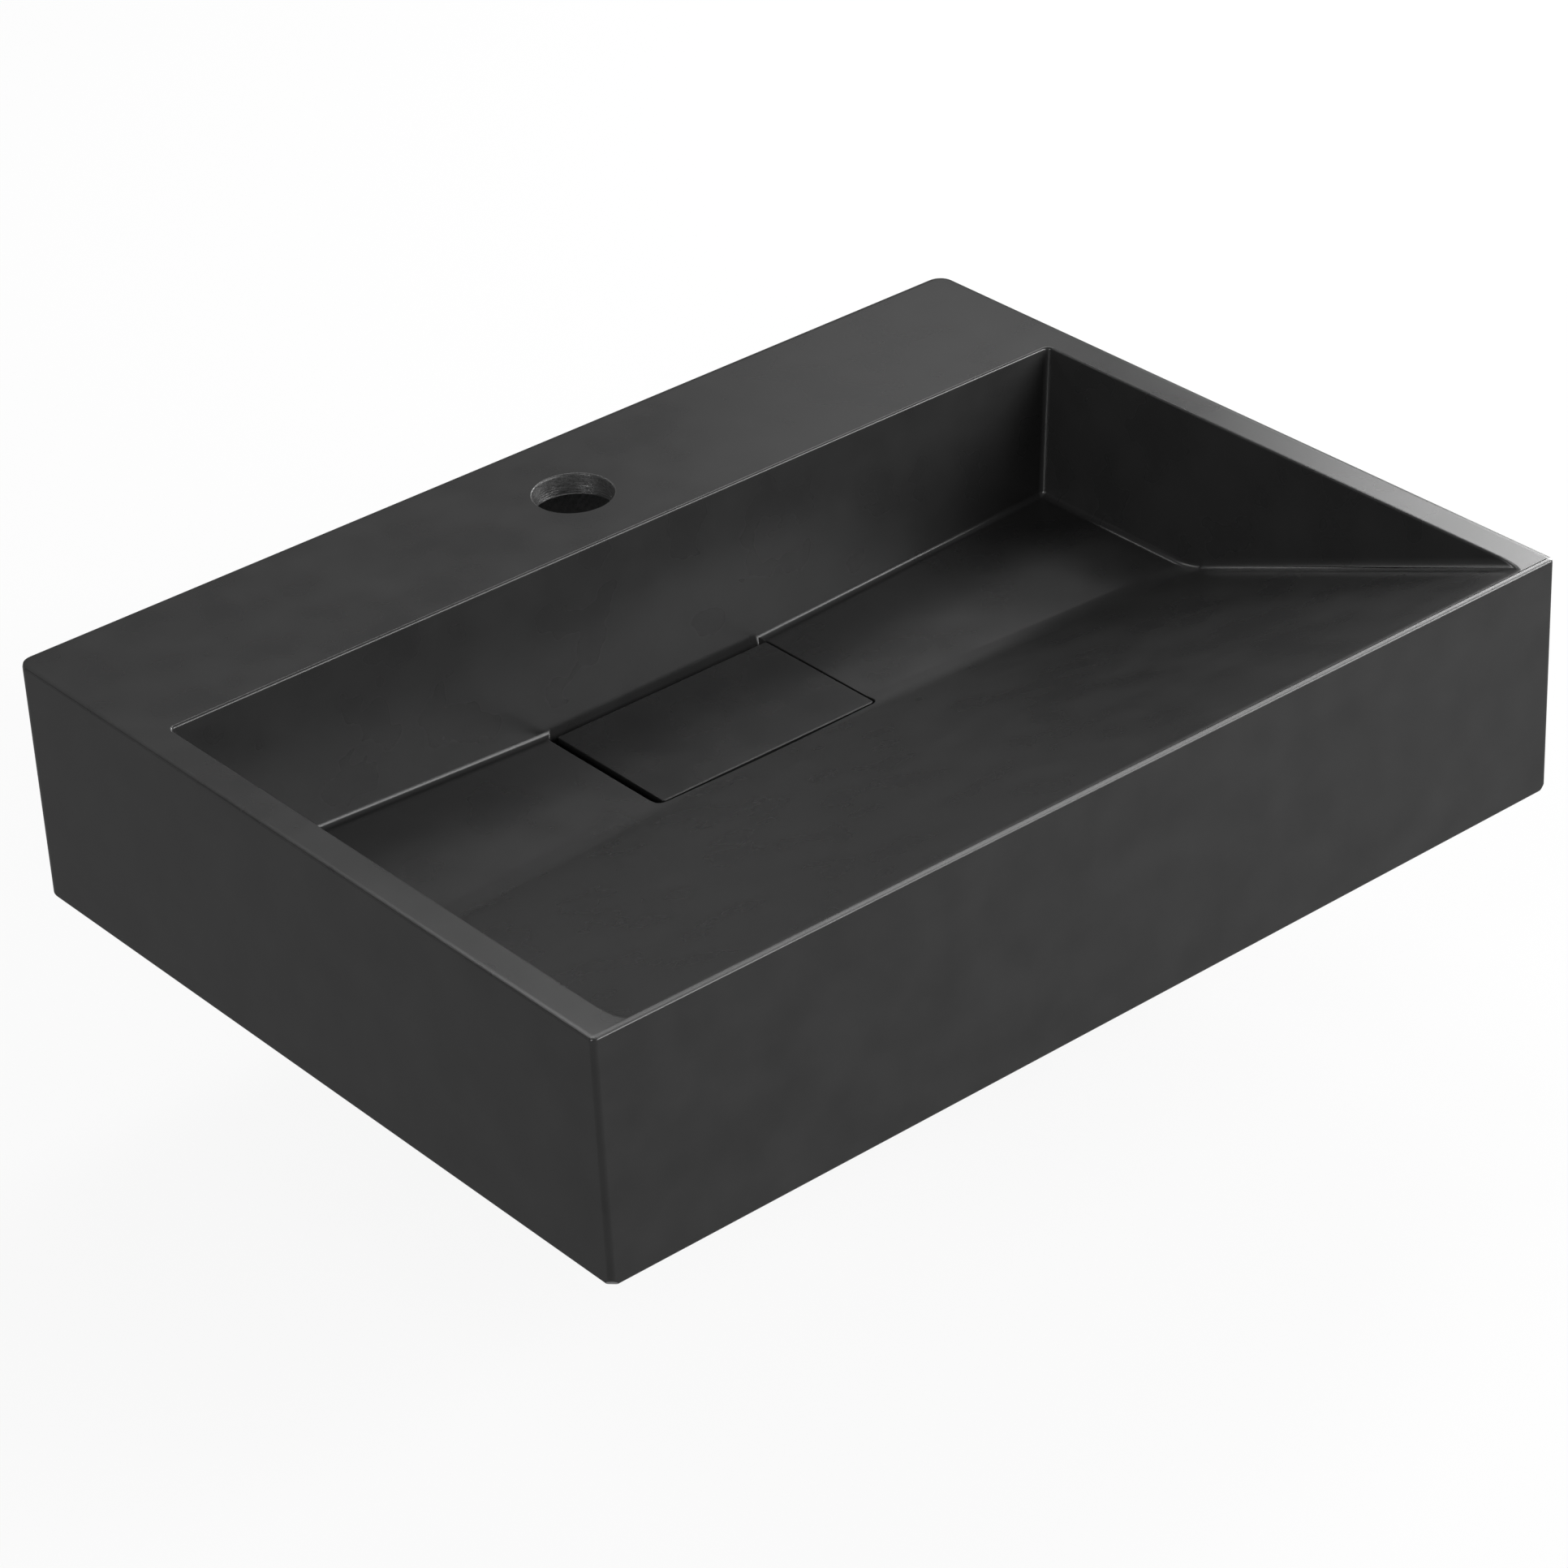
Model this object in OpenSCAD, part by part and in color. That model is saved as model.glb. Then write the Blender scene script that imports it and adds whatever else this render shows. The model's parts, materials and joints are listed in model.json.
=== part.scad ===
// Wall-hung washbasin, cast in one piece with an open underside.
// A long sloping front runs down to a shallow trough against the bowl's back wall, and a loose
// rectangular cover lies flush over the waste. The origin is midway between the two wall studs,
// on the back face: X runs along the wall, Y into the wall, Z up.

/* [Basin] */
// Width along the wall
basin_w = 500; // [440:5:560]
// Depth from the wall to the front
basin_d = 375; // [360:5:400]
// Height of the outside walls
basin_h = 110; // [105:1:130]
// Thickness of the outside walls
apron_t = 12; // [8:1:14]
// Thickness of the deck and of the bowl's walls
shell_t = 10; // [7:1:12]
// Plan radius of the two corners against the wall
back_corner_r = 7; // [3:1:12]
// Plan radius of the two front corners
front_corner_r = 2.5; // [1.5:0.5:5]
// Radius on the outside edges along the top and the bottom
outer_edge_r = 1.5; // [0.5:0.5:2]

/* [Bowl] */
// Width of the rim on each side of the bowl
side_rim = 15; // [13:1:25]
// Width of the rim in front of the bowl
front_rim = 3.6; // [3:0.2:8]
// Depth of the deck behind the bowl
deck_d = 88; // [75:1:95]
// Lean of the bowl's side walls from upright, in degrees
side_lean = 9; // [4:0.5:12]
// Lean of the bowl's back wall from upright, in degrees
back_lean = 5; // [2:0.5:8]
// Slope of the bowl's front, in degrees
ramp_angle = 20.5; // [19:0.5:21]
// Height of the trough floor at the middle, above the underside
floor_h = 32.5; // [31:0.5:36]
// Fall of the trough floor towards the middle, in degrees
floor_fall = 2.4; // [1:0.2:3]
// Radius of the bowl's inside corners
bowl_edge_r = 4; // [2:0.5:6]
// Radius of the soft bend between the trough floor and the sloping front
bend_r = 45; // [20:5:60]

/* [Drain recess] */
// Width of the recess under the cover
recess_w = 118.5; // [110:0.5:124]
// Depth of the recess, front to back
recess_d = 72.5; // [68:0.5:74]
// Distance from the bowl's back rim to the recess
recess_setback = 12; // [11:0.5:14]
// Height of the recess floor above the underside
sump_h = 18; // [17:0.5:19]
// Thickness of the slab under the recess
sump_t = 12; // [8:1:14]
// Corner radius of the recess
recess_r = 3.5; // [2:0.5:5]
// Diameter of the waste hole
waste_hole_d = 45; // [44:0.5:46]

/* [Cover] */
// Gap between the cover and each side of its recess, when the cover is centred
cover_side_gap = 2; // [1.5:0.1:3]
// Gap in front of the cover and behind it
cover_end_gap = 1.25; // [1:0.25:2]
// Thickness of the drain cover
cover_t = 9; // [6:1:10]
// How far the loose cover lies to the right of the middle of its recess
cover_shift = 1; // [-1:0.5:1]
// Thickness of the silicone pads under the cover's feet
pad_t = 2; // [1:0.5:3]

/* [Holes] */
// Diameter of the tap hole
tap_hole_d = 35; // [32:1:36]
// Distance from the wall to the middle of the tap hole
tap_setback = 46.5; // [45:0.5:48]
// Distance between the two wall studs
stud_spacing = 280; // [240:10:300]
// Height of the wall studs above the underside
stud_h = 50; // [45:1:60]
// Diameter of the wall holes
wall_hole_d = 18; // [16:1:20]

/* [Waste] */
// Outside diameter of the threaded waste body
waste_d = 38; // [36:0.5:40]
// Outside diameter of the tailpiece
tail_d = 31.8; // [31:0.2:32.4]
// Length of the waste body below the recess floor
waste_len = 50; // [44:1:60]
// How far the tailpiece ends below the underside of the basin
tail_drop = 95; // [80:5:140]

/* [Hidden] */
$fn = 96;

// Heights, measured from the wall studs
base_z = -stud_h;
rim_z = base_z + basin_h;
sump_z = base_z + sump_h;
slab_z = sump_z - sump_t;
deck_under_z = rim_z - shell_t;

// The four planes of the bowl. The sloping front meets the rim at ramp_top_y.
ramp_top_y = front_rim - basin_d;
floor_mid_z = base_z + floor_h;
side_tan = tan(side_lean);
fall_tan = tan(floor_fall);
floor_up = [-sin(floor_fall), 0, cos(floor_fall)];
ramp_up = [0, sin(ramp_angle), cos(ramp_angle)];
bowl_reach = 30; // how far the cutting form stands above the rim
bend_steps = 6;
form_fn = 32;

// The recess and the cover lie over the waste
recess_y = -deck_d - recess_setback - recess_d / 2;
recess_x = recess_w / 2;
cover_w = recess_w - 2 * cover_side_gap;
cover_d = recess_d - 2 * cover_end_gap;
cover_z = floor_mid_z + recess_x * fall_tan;
cover_under_z = cover_z - cover_t;
foot_d = 12;
foot_inset = 9;
waste_y = recess_y;

// The clamped stack of the waste, from the seal down to the nut
seat_d = 66;
seat_depth = 2.5;
seat_z = sump_z - seat_depth;
seal_t = 2;
flange_t = 2.5;
flange_d = 63;
grid_t = 2;
washer_t = 9;
slip_t = 2;
nut_t = 9;
thread_gap = 0.1; // clearance between a thread and the nut on it
waste_bore_d = 33.6;
waste_end_z = sump_z - waste_len;
tail_wall = 1;
tail_end_z = base_z - tail_drop;
collar_t = 6;
tail_seal_t = 2;
tail_thread_l = 14;

// The fixings, along the wall stud from the inside of the apron
boss_t = 6;
boss_d = 44;
stud_d = 10;
neck_d = 9; // machine thread and shank inside the basin, at the thread's middle diameter
stud_out = 60;
stud_in = 44;
sleeve_flange_t = 2;
steel_washer_t = 2;
stud_nut_t = 8;
wall_inner_y = -apron_t - boss_t;

// A rounded rectangle about the origin, with one radius at the front and one at the back
module rounded_plan(w, d, front_r, back_r) {
    union() {
        translate([-w / 2, -d / 2 + front_r]) square([w, d - front_r - back_r]);
        translate([-w / 2 + front_r, -d / 2]) square([w - 2 * front_r, front_r]);
        translate([-w / 2 + back_r, d / 2 - back_r]) square([w - 2 * back_r, back_r]);
        for (side = [-1, 1]) {
            translate([side * (w / 2 - front_r), -d / 2 + front_r]) circle(front_r);
            translate([side * (w / 2 - back_r), d / 2 - back_r]) circle(back_r);
        }
    }
}

module rounded_block(w, d, h, r) {
    linear_extrude(h) rounded_plan(w, d, r, r);
}

module ring(outer_d, inner_d, h) {
    difference() {
        cylinder(d = outer_d, h = h);
        translate([0, 0, -1]) cylinder(d = inner_d, h = h + 2);
    }
}

// Every edge of the outside is rounded: the plan, the front view and the side view are each
// extruded right through, and the block is what the three share.
module outer_block() {
    mid_z = base_z + basin_h / 2;
    intersection() {
        translate([0, -basin_d / 2, base_z])
            linear_extrude(basin_h) rounded_plan(basin_w, basin_d, front_corner_r, back_corner_r);
        translate([0, 1, mid_z]) rotate([90, 0, 0])
            linear_extrude(basin_d + 2)
                rounded_plan(basin_w, basin_h, outer_edge_r, outer_edge_r);
        translate([-basin_w / 2 - 1, -basin_d / 2, mid_z]) rotate([90, 0, 90])
            linear_extrude(basin_w + 2)
                rounded_plan(basin_d, basin_h, outer_edge_r, outer_edge_r);
    }
}

// Middle of a ball of radius r that touches the side wall and the back wall at height z
function wall_ball(z, r) = [
    basin_w / 2 - side_rim - (rim_z - z) * side_tan - r / cos(side_lean),
    -deck_d - (rim_z - z) * tan(back_lean) - r / cos(back_lean),
    z];

// Height at which that ball also touches the trough floor
function corner_z(r) =
    let (x0 = wall_ball(0, r)[0])
    (floor_mid_z + r / cos(floor_fall) + fall_tan * x0) / (1 - fall_tan * side_tan);

// Ball on the centre line that touches the back wall and the floor
function middle_ball(r) =
    let (z = floor_mid_z + r / cos(floor_fall))
    [0, wall_ball(z, r)[1], z];

// Point at bend_r from both the trough floor and the sloping front, at x
function bend_axis(x) =
    let (z = floor_mid_z + x * fall_tan + bend_r / cos(floor_fall))
    [x, ramp_top_y + (rim_z + bend_r / cos(ramp_angle) - z) / tan(ramp_angle), z];

// Direction t of the way round the bend, from square to the floor to square to the sloping front
function bend_normal(t) =
    let (turn = acos(floor_up * ramp_up))
    (sin((1 - t) * turn) * floor_up + sin(t * turn) * ramp_up) / sin(turn);

// Ball in the bend on the centre line
function bend_middle(t, r) =
    let (g = bend_r - r, n = bend_normal(t))
    bend_axis(g * n[0]) - g * n;

// Ball in the bend that also touches the side wall
function bend_side(t, r) =
    let (
        g = bend_r - r,
        n = bend_normal(t),
        z0 = bend_axis(0)[2] - g * n[2],
        x0 = wall_ball(z0, r)[0],
        x = (x0 + g * n[0]) / (1 - fall_tan * side_tan)
    )
    bend_axis(x) - g * n;

// Ball high on the sloping front that touches the side wall, above the rim
function ramp_end(r) =
    let (z = rim_z + bowl_reach, y = ramp_top_y - (z - rim_z - r / cos(ramp_angle)) / tan(ramp_angle))
    [wall_ball(z, r)[0], y, z];

// The bowl's inside is what a ball sweeps when it rolls along every wall, grown by skin
module bowl_form(skin = 0) {
    r = bowl_edge_r;
    sides = concat(
        [wall_ball(rim_z + bowl_reach, r), wall_ball(corner_z(r), r), ramp_end(r)],
        [for (i = [0:bend_steps]) bend_side(i / bend_steps, r)]);
    middles = concat([middle_ball(r)], [for (i = [0:bend_steps]) bend_middle(i / bend_steps, r)]);
    hull() {
        for (c = middles) translate(c) sphere(r + skin, $fn = form_fn);
        for (c = sides, side = [-1, 1])
            translate([side * c[0], c[1], c[2]]) sphere(r + skin, $fn = form_fn);
    }
}

// The hollow under the deck and the bowl, closed above and open below
module underside() {
    cavity_h = deck_under_z - base_z + 1;
    difference() {
        translate([0, -basin_d / 2, base_z - 1])
            rounded_block(basin_w - 2 * apron_t, basin_d - 2 * apron_t, cavity_h, 8);
        bowl_form(shell_t);
        translate([0, recess_y, slab_z])
            rounded_block(recess_w + 2 * shell_t, recess_d + 2 * shell_t, basin_h, 8);
        for (side = [-1, 1])
            translate([side * stud_spacing / 2, wall_inner_y, 0])
                rotate([-90, 0, 0]) cylinder(d = boss_d, h = boss_t + 1);
    }
}

module basin() {
    color("#3a3a3c") difference() {
        outer_block();
        bowl_form();
        underside();
        translate([0, recess_y, sump_z]) rounded_block(recess_w, recess_d, basin_h, recess_r);
        translate([0, waste_y, seat_z]) cylinder(d = seat_d, h = seat_depth + 1);
        translate([0, waste_y, slab_z - 1]) cylinder(d = waste_hole_d, h = sump_t + 1);
        translate([0, -tap_setback, deck_under_z - 1]) cylinder(d = tap_hole_d, h = shell_t + 2);
        for (side = [-1, 1])
            translate([side * stud_spacing / 2, wall_inner_y - 1, 0])
                rotate([-90, 0, 0]) cylinder(d = wall_hole_d, h = apron_t + boss_t + 2);
    }
}

// Places its children at the cover's four feet
module at_feet(z) {
    for (side = [-1, 1], end = [-1, 1])
        translate([
            cover_shift + side * (cover_w / 2 - foot_inset),
            recess_y + end * (cover_d / 2 - foot_inset),
            z]) children();
}

module drain_cover() {
    color("#353537") union() {
        translate([cover_shift, recess_y, cover_under_z]) rounded_block(cover_w, cover_d, cover_t, 1);
        at_feet(sump_z + pad_t)
            cylinder(d = foot_d, h = cover_under_z - sump_z - pad_t + 0.5);
    }
}

module cover_pads() {
    color("#8d9092") at_feet(sump_z) cylinder(d = foot_d - 2, h = pad_t);
}

// Strainer, flange and threaded body, cast as one
module waste_flange() {
    flange_z = seat_z + seal_t;
    top_z = flange_z + flange_t;
    color("#c9ccce") translate([0, waste_y, 0]) difference() {
        union() {
            translate([0, 0, flange_z]) cylinder(d = flange_d, h = flange_t - 1);
            translate([0, 0, top_z - 1]) cylinder(d1 = flange_d, d2 = flange_d - 3, h = 1);
            translate([0, 0, waste_end_z]) cylinder(d = waste_d, h = flange_z - waste_end_z + 1);
        }
        translate([0, 0, waste_end_z - 1])
            cylinder(d = waste_bore_d, h = top_z - grid_t - waste_end_z + 1);
        grid_holes(top_z);
    }
}

// Two rings of round holes about a middle one
module grid_holes(top_z) {
    hole_d = 5;
    for (ring = [0:2], i = [0:max(1, 6 * ring) - 1])
        rotate([0, 0, i * 60 / max(1, ring)]) translate([ring * 6.6, 0, top_z - grid_t - 1])
            cylinder(d = hole_d, h = grid_t + 2);
}

module flange_seal() {
    color("#1d1d1f") translate([0, waste_y, seat_z])
        ring(flange_d - 3, waste_hole_d + 1, seal_t);
}

// Tapered rubber washer under the slab
module under_washer() {
    color("#1d1d1f") translate([0, waste_y, slab_z - washer_t]) difference() {
        cylinder(d1 = 50, d2 = 60, h = washer_t);
        translate([0, 0, -1]) cylinder(d = waste_d + 2 * thread_gap, h = washer_t + 2);
    }
}

module slip_washer() {
    color("#e4e4e0") translate([0, waste_y, slab_z - washer_t - slip_t])
        ring(56, waste_d + 2 * thread_gap, slip_t);
}

module waste_nut() {
    color("#c8a24a") translate([0, waste_y, slab_z - washer_t - slip_t - nut_t]) difference() {
        cylinder(d = 58, h = nut_t, $fn = 6);
        translate([0, 0, -1]) cylinder(d = waste_d + 2 * thread_gap, h = nut_t + 2);
    }
}

module tail_seal() {
    color("#1d1d1f") translate([0, waste_y, waste_end_z - tail_seal_t])
        ring(waste_d - 1, waste_bore_d, tail_seal_t);
}

// Tube with a threaded neck inside the waste body and a collar below it
module tailpiece() {
    collar_z = waste_end_z - tail_seal_t - collar_t;
    neck_l = tail_thread_l + tail_seal_t + collar_t;
    color("#c9ccce") translate([0, waste_y, 0]) difference() {
        union() {
            translate([0, 0, tail_end_z]) cylinder(d = tail_d, h = collar_z - tail_end_z + 1);
            translate([0, 0, collar_z]) cylinder(d = waste_d, h = collar_t);
            translate([0, 0, collar_z])
                cylinder(d = waste_bore_d - 2 * thread_gap, h = neck_l);
        }
        translate([0, 0, tail_end_z - 1])
            cylinder(d = tail_d - 2 * tail_wall, h = collar_z + neck_l - tail_end_z + 2);
    }
}

// Places its children on both wall studs, at y along them, with +Z pointing into the wall
module on_studs(y) {
    for (side = [-1, 1])
        translate([side * stud_spacing / 2, y, 0]) rotate([-90, 0, 0]) children();
}

// Machine thread and shank inside the basin, then the thicker wood thread and its point in the wall
module wall_studs() {
    point_l = 8;
    color("#a9adb0") on_studs(-stud_in) {
        cylinder(d = neck_d, h = stud_in + 1);
        translate([0, 0, stud_in]) cylinder(d = stud_d, h = stud_out - point_l);
        translate([0, 0, stud_in + stud_out - point_l])
            cylinder(d1 = stud_d, d2 = stud_d / 4, h = point_l);
    }
}

module stud_sleeves() {
    color("#e4e4e0") on_studs(wall_inner_y - sleeve_flange_t) difference() {
        union() {
            cylinder(d = 30, h = sleeve_flange_t);
            cylinder(d = wall_hole_d - 2 * thread_gap, h = sleeve_flange_t + apron_t + boss_t - 1);
        }
        translate([0, 0, -1])
            cylinder(d = neck_d + 2 * thread_gap, h = apron_t + boss_t + sleeve_flange_t + 2);
    }
}

module stud_washers() {
    color("#a9adb0") on_studs(wall_inner_y - sleeve_flange_t - steel_washer_t)
        ring(24, stud_d + 0.5, steel_washer_t);
}

module stud_nuts() {
    color("#a9adb0") on_studs(wall_inner_y - sleeve_flange_t - steel_washer_t - stud_nut_t)
        difference() {
            cylinder(d = 19.6, h = stud_nut_t, $fn = 6);
            translate([0, 0, -1]) cylinder(d = neck_d + 2 * thread_gap, h = stud_nut_t + 2);
        }
}

basin();
drain_cover();
cover_pads();
waste_flange();
flange_seal();
under_washer();
slip_washer();
waste_nut();
tail_seal();
tailpiece();
wall_studs();
stud_sleeves();
stud_washers();
stud_nuts();
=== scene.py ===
# %% [markdown]
# # A cast washbasin with a sloping front
# The CAD model fixes the size and place of every part. This lesson gives each part the look of
# the real thing: soft cast edges, a drilled tap hole, cut threads, and finishes made of nodes.
# Everything is in metres, in the CAD model's own frame: X runs along the wall to the right,
# Y goes into the wall and Z is up.

# %% Load the fixed frame
import bpy
import bmesh
import json
import math
from mathutils import Matrix, Vector, noise


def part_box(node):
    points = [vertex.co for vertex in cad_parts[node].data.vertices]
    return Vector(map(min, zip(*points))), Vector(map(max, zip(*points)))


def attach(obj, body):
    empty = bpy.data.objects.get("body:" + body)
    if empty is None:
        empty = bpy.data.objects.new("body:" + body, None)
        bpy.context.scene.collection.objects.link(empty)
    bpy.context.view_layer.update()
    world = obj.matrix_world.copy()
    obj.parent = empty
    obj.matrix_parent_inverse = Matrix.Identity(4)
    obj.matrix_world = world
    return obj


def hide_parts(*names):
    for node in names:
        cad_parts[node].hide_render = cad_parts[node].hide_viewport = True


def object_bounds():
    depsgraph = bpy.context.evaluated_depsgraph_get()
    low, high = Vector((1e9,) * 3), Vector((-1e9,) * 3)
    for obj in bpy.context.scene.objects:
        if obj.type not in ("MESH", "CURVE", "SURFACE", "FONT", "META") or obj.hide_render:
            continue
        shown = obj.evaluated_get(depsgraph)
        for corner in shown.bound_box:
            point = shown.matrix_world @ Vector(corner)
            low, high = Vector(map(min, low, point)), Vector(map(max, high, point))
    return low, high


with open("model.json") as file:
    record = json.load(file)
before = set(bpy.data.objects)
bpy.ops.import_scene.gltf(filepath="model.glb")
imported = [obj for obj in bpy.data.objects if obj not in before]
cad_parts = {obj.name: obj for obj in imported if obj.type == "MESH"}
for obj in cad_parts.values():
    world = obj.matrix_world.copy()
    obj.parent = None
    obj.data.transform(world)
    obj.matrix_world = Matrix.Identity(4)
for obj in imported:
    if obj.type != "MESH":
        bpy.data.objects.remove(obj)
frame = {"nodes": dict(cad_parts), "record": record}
record = frame["record"]
cad_low, cad_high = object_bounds()
mm = 0.001
scene = bpy.context.scene
print("CAD nodes:", ", ".join(sorted(frame["nodes"])))

# %% [markdown]
# The camera comes early, because every later choice is judged through it. It looks down at the
# basin from the front left. A long lens keeps the far corner almost as large as the near one,
# as in a catalogue. A position, the point looked at and a slight roll place it.

# %% Camera
def place_camera(position, target, roll_degrees, lens):
    data = bpy.data.cameras.new("view")
    data.lens = lens
    data.sensor_width = 36
    data.clip_start = 0.05
    data.clip_end = 50
    camera = bpy.data.objects.new("view", data)
    scene.collection.objects.link(camera)
    aim = (Vector(target) - Vector(position)).to_track_quat("-Z", "Y").to_matrix().to_4x4()
    roll = Matrix.Rotation(math.radians(roll_degrees), 4, "Z")
    camera.matrix_world = Matrix.Translation(position) @ aim @ roll
    scene.camera = camera
    return camera


camera = place_camera((-1.1328, -1.5924, 1.079), (-0.011, -0.1926, -0.0157), -2.93, 117.5)
print("camera at", [round(v, 3) for v in camera.matrix_world.translation])

# %% [markdown]
# Blender's operators act on whatever is selected. These small helpers clear the selection,
# open a mesh for editing, and pick edges by a test, such as "runs upwards" or "lies on the rim".

# %% Selecting and editing
def only(piece):
    bpy.ops.object.select_all(action="DESELECT")
    piece.select_set(True)
    bpy.context.view_layer.objects.active = piece


def edit(piece):
    only(piece)
    bpy.ops.object.mode_set(mode="EDIT")
    return bmesh.from_edit_mesh(piece.data)


def leave_edit():
    bpy.ops.object.mode_set(mode="OBJECT")


def turn_of(edge):
    """How far the surface turns over an edge, in degrees."""
    return math.degrees(edge.link_faces[0].normal.angle(edge.link_faces[1].normal, 0))


def round_edges(piece, test, width, steps):
    """Bevels the edges between two faces that pass the test."""
    mesh = edit(piece)
    bpy.ops.mesh.select_mode(type="EDGE")
    bpy.ops.mesh.select_all(action="DESELECT")
    found = [e for e in mesh.edges if len(e.link_faces) == 2 and test(e)]
    for e in found:
        e.select_set(True)
    bmesh.update_edit_mesh(piece.data)
    if found:
        bpy.ops.mesh.bevel(offset=width, segments=steps, profile=0.5, affect="EDGES",
                           clamp_overlap=False)
    leave_edit()
    return len(found)


def clip_corners(piece, test, size):
    """Cuts the points that pass the test down to small flat facets."""
    mesh = edit(piece)
    bpy.ops.mesh.select_mode(type="VERT")
    bpy.ops.mesh.select_all(action="DESELECT")
    for v in mesh.verts:
        v.select_set(test(v))
    mesh.select_flush(True)
    bmesh.update_edit_mesh(piece.data)
    bpy.ops.mesh.bevel(offset=size, segments=1, affect="VERTICES", clamp_overlap=False)
    leave_edit()


def round_by_place(piece, test, width_at, steps):
    """Bevels with a width that changes from place to place, by a weight on each edge."""
    mesh = edit(piece)
    weight = mesh.edges.layers.float.new("bevel_weight_edge")
    widths = {e.index: width_at((e.verts[0].co + e.verts[1].co) / 2)
              for e in mesh.edges if len(e.link_faces) == 2 and test(e)}
    widest = max(widths.values())
    for e in mesh.edges:
        e[weight] = widths.get(e.index, 0) / widest
    bmesh.update_edit_mesh(piece.data)
    leave_edit()
    soft = piece.modifiers.new("corners", "BEVEL")
    soft.limit_method = "WEIGHT"
    soft.width, soft.segments = widest, steps
    soft.use_clamp_overlap = False
    bpy.ops.object.modifier_apply(modifier=soft.name)
    return len(widths)

# %% [markdown]
# Blocks and turned bodies are the raw shapes. `turned` draws half of an outline, from the axis
# outwards, and spins it round. A boolean modifier then adds or cuts one body with another, and
# is applied at once, so that only the result stays. `cut_by_plane` is a straight saw cut.

# %% Raw shapes and cuts
def block(name, low, high):
    low, high = Vector(low), Vector(high)
    bpy.ops.object.select_all(action="DESELECT")
    bpy.ops.mesh.primitive_cube_add(size=1, location=(low + high) / 2)
    piece = bpy.context.object
    piece.name = name
    piece.scale = high - low
    bpy.ops.object.transform_apply(location=True, rotation=True, scale=True)
    return piece


def is_upright(edge):
    return abs((edge.verts[0].co - edge.verts[1].co).normalized().z) > 0.99


def rounded_block(name, low, high, radius, steps=6):
    piece = block(name, low, high)
    round_edges(piece, is_upright, radius, steps)
    return piece


def turned(name, outline, middle=(0, 0), axis="Z", steps=64, ring=False):
    """outline is a list of (radius, height along the axis). A ring's outline closes on itself."""
    a, b = middle
    if axis == "Z":
        points = [(a + r, b, h) for r, h in outline]
        centre, direction = (a, b, 0), (0, 0, 1)
    else:
        points = [(a + r, h, b) for r, h in outline]
        centre, direction = (a, 0, b), (0, 1, 0)
    lines = [(i, i + 1) for i in range(len(points) - 1)]
    if ring:
        lines.append((len(points) - 1, 0))
    mesh = bpy.data.meshes.new(name)
    mesh.from_pydata(points, lines, [])
    piece = bpy.data.objects.new(name, mesh)
    scene.collection.objects.link(piece)
    edit(piece)
    bpy.ops.mesh.select_all(action="SELECT")
    bpy.ops.mesh.spin(steps=steps, angle=2 * math.pi, center=centre, axis=direction)
    bpy.ops.mesh.select_all(action="SELECT")
    bpy.ops.mesh.remove_doubles(threshold=1e-6)
    bpy.ops.mesh.normals_make_consistent(inside=False)
    leave_edit()
    return piece


def weld(piece):
    """Merges points that a cut has left almost on top of each other."""
    edit(piece)
    bpy.ops.mesh.select_all(action="SELECT")
    bpy.ops.mesh.remove_doubles(threshold=4e-6)
    leave_edit()


def combine(piece, tool, operation="DIFFERENCE"):
    only(piece)
    change = piece.modifiers.new("combine", "BOOLEAN")
    change.operation = operation
    change.solver = "EXACT"
    change.material_mode = "TRANSFER"
    change.object = tool
    bpy.ops.object.modifier_apply(modifier=change.name)
    bpy.data.objects.remove(tool)
    weld(piece)
    return piece


def cut_by_plane(piece, point, normal):
    """Saws off what lies on the normal's side, and closes the cut."""
    edit(piece)
    bpy.ops.mesh.select_all(action="SELECT")
    bpy.ops.mesh.bisect(plane_co=point, plane_no=normal, use_fill=True, clear_outer=True)
    leave_edit()


def repeat(piece, offsets):
    """Copies the whole mesh to each offset, inside the same piece."""
    mesh = edit(piece)
    count = len(mesh.verts)
    for offset in offsets:
        mesh = bmesh.from_edit_mesh(piece.data)
        mesh.verts.ensure_lookup_table()
        bpy.ops.mesh.select_mode(type="VERT")
        bpy.ops.mesh.select_all(action="DESELECT")
        for v in mesh.verts[:count]:
            v.select_set(True)
        mesh.select_flush(True)
        bpy.ops.mesh.duplicate()
        bpy.ops.transform.translate(value=offset)
    leave_edit()
    return piece


def smooth(piece, angle=35):
    """Smooth shading up to an angle, with the large flat faces kept flat."""
    only(piece)
    bpy.ops.object.shade_smooth_by_angle(angle=math.radians(angle), keep_sharp_edges=True)
    flat = piece.modifiers.new("flat faces", "WEIGHTED_NORMAL")
    flat.keep_sharp = True
    flat.weight = 50
    bpy.ops.object.modifier_apply(modifier=flat.name)
    return piece


def report(piece):
    mesh = bmesh.new()
    mesh.from_mesh(piece.data)
    open_edges = sum(len(e.link_faces) != 2 for e in mesh.edges)
    print(f"{piece.name}: {len(mesh.faces)} faces, {open_edges} open edges, "
          f"{mesh.calc_volume() * 1e6:.1f} cm3")
    mesh.free()

# %% [markdown]
# Threads, teeth and drill marks all follow an axis. `cut_thread` moves the points of a turned
# wall inwards along a helix, so the wall needs rows of points closer than the thread's pitch.

# %% Threads
def rows(radius, start, end, spacing):
    """Points down a straight wall, close enough to carve."""
    count = max(1, round(abs(end - start) / spacing))
    return [(radius, start + (end - start) * i / count) for i in range(count + 1)]


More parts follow.
